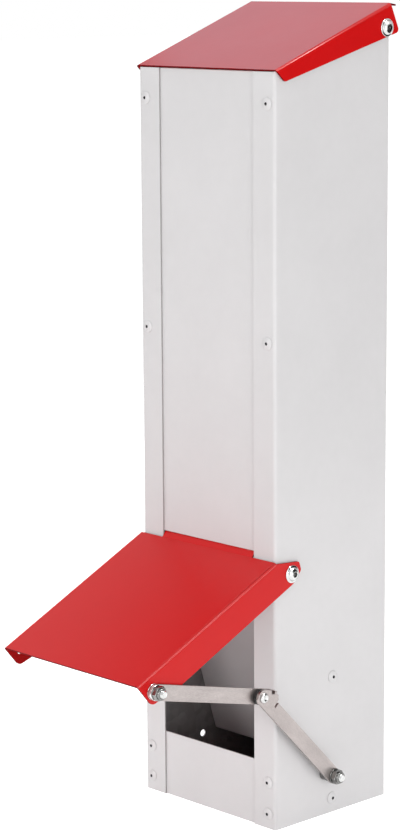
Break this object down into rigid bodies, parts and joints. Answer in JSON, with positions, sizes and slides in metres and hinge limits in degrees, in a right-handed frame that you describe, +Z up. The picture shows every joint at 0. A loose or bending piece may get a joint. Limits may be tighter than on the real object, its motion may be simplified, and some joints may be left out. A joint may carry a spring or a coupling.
{
  "type": "chicken feeder",
  "caption": "Tall sheet-steel poultry feeder with a hinged pitched lid, an open feeding mouth, a rain hood that folds down over it, and a folding side stay.",
  "frame": {"origin": "on the floor, under the middle of the column", "axes": "+X to the object's own right-hand side seen from above with the front towards -Y, where the stay is; -Y to the front, where the mouth is; +Z up"},
  "size_m": [0.1711, 0.2704, 0.6176],
  "materials": {
    "white_coat": "satin powder coat, pale grey-white",
    "red_coat": "satin powder coat, red",
    "brushed_steel": "lengthwise brushed flat bar",
    "plated_steel": "bright zinc plate",
    "zinc_steel": "dull zinc plate",
    "black_polymer": "matt black"
  },
  "bodies": {
    "column": {"body_shell": "white_coat", "front_upper_panel": "white_coat", "front_lower_panel": "white_coat", "floor_tray": "white_coat", "feed_baffle": "white_coat", "front_rivet_tray_left": "white_coat", "front_rivet_sill_left": "white_coat", "front_rivet_panel_low_left": "white_coat", "front_rivet_panel_high_left": "white_coat", "front_rivet_tray_right": "white_coat", "front_rivet_sill_right": "white_coat", "front_rivet_panel_low_right": "white_coat", "front_rivet_panel_high_right": "white_coat", "side_rivet_tray_left": "white_coat", "side_rivet_baffle_left": "white_coat", "side_rivet_tray_right": "white_coat", "side_rivet_baffle_right": "white_coat", "lid_hinge_insert_left": "zinc_steel", "hood_hinge_insert_left": "zinc_steel", "lid_hinge_insert_right": "zinc_steel", "hood_hinge_insert_right": "zinc_steel", "lid_hinge_screw_left": "plated_steel", "hood_hinge_screw_left": "plated_steel", "lid_hinge_screw_right": "plated_steel", "hood_hinge_screw_right": "plated_steel", "stay_foot_bolt": "plated_steel", "stay_foot_spacer": "plated_steel", "stay_foot_washer": "plated_steel", "stay_foot_nut": "plated_steel"},
    "lid": {"lid_panel": "red_coat"},
    "hood": {"hood_panel": "red_coat", "stay_stud_head": "plated_steel"},
    "stay_lower": {"stay_lower_bar": "brushed_steel", "knuckle_rivet": "plated_steel", "knuckle_washer": "black_polymer"},
    "stay_upper": {"stay_upper_bar": "brushed_steel", "stay_stud": "plated_steel", "stay_stud_inner_washer": "plated_steel", "stay_stud_outer_washer": "plated_steel", "stay_stud_nut": "plated_steel"}
  },
  "joints": [
    {"name": "lid_hinge", "type": "hinge", "parent": "column", "child": "lid", "pos_m": [0, 0.055, 0.5993], "axis": [-1, 0, 0], "range_deg": [0, 122]},
    {"name": "hood_hinge", "type": "hinge", "parent": "column", "child": "hood", "pos_m": [0, -0.0462, 0.1978], "axis": [1, 0, 0], "range_deg": [0, 64]},
    {"name": "stay_foot_pivot", "type": "hinge", "parent": "column", "child": "stay_lower", "pos_m": [0.0825, -0.0084, 0.0336], "axis": [1, 0, 0], "range_deg": [-41.6, 0]},
    {"name": "knuckle_pivot", "type": "hinge", "parent": "stay_lower", "child": "stay_upper", "pos_m": [0.0798, -0.08448, 0.11148], "axis": [1, 0, 0], "range_deg": [0, 123.6]}
  ],
  "couplings": [
    {"joint": "stay_foot_pivot", "follows": "hood_hinge", "ratio": -0.64754},
    {"joint": "knuckle_pivot", "follows": "hood_hinge", "ratio": 1.9277}
  ]
}
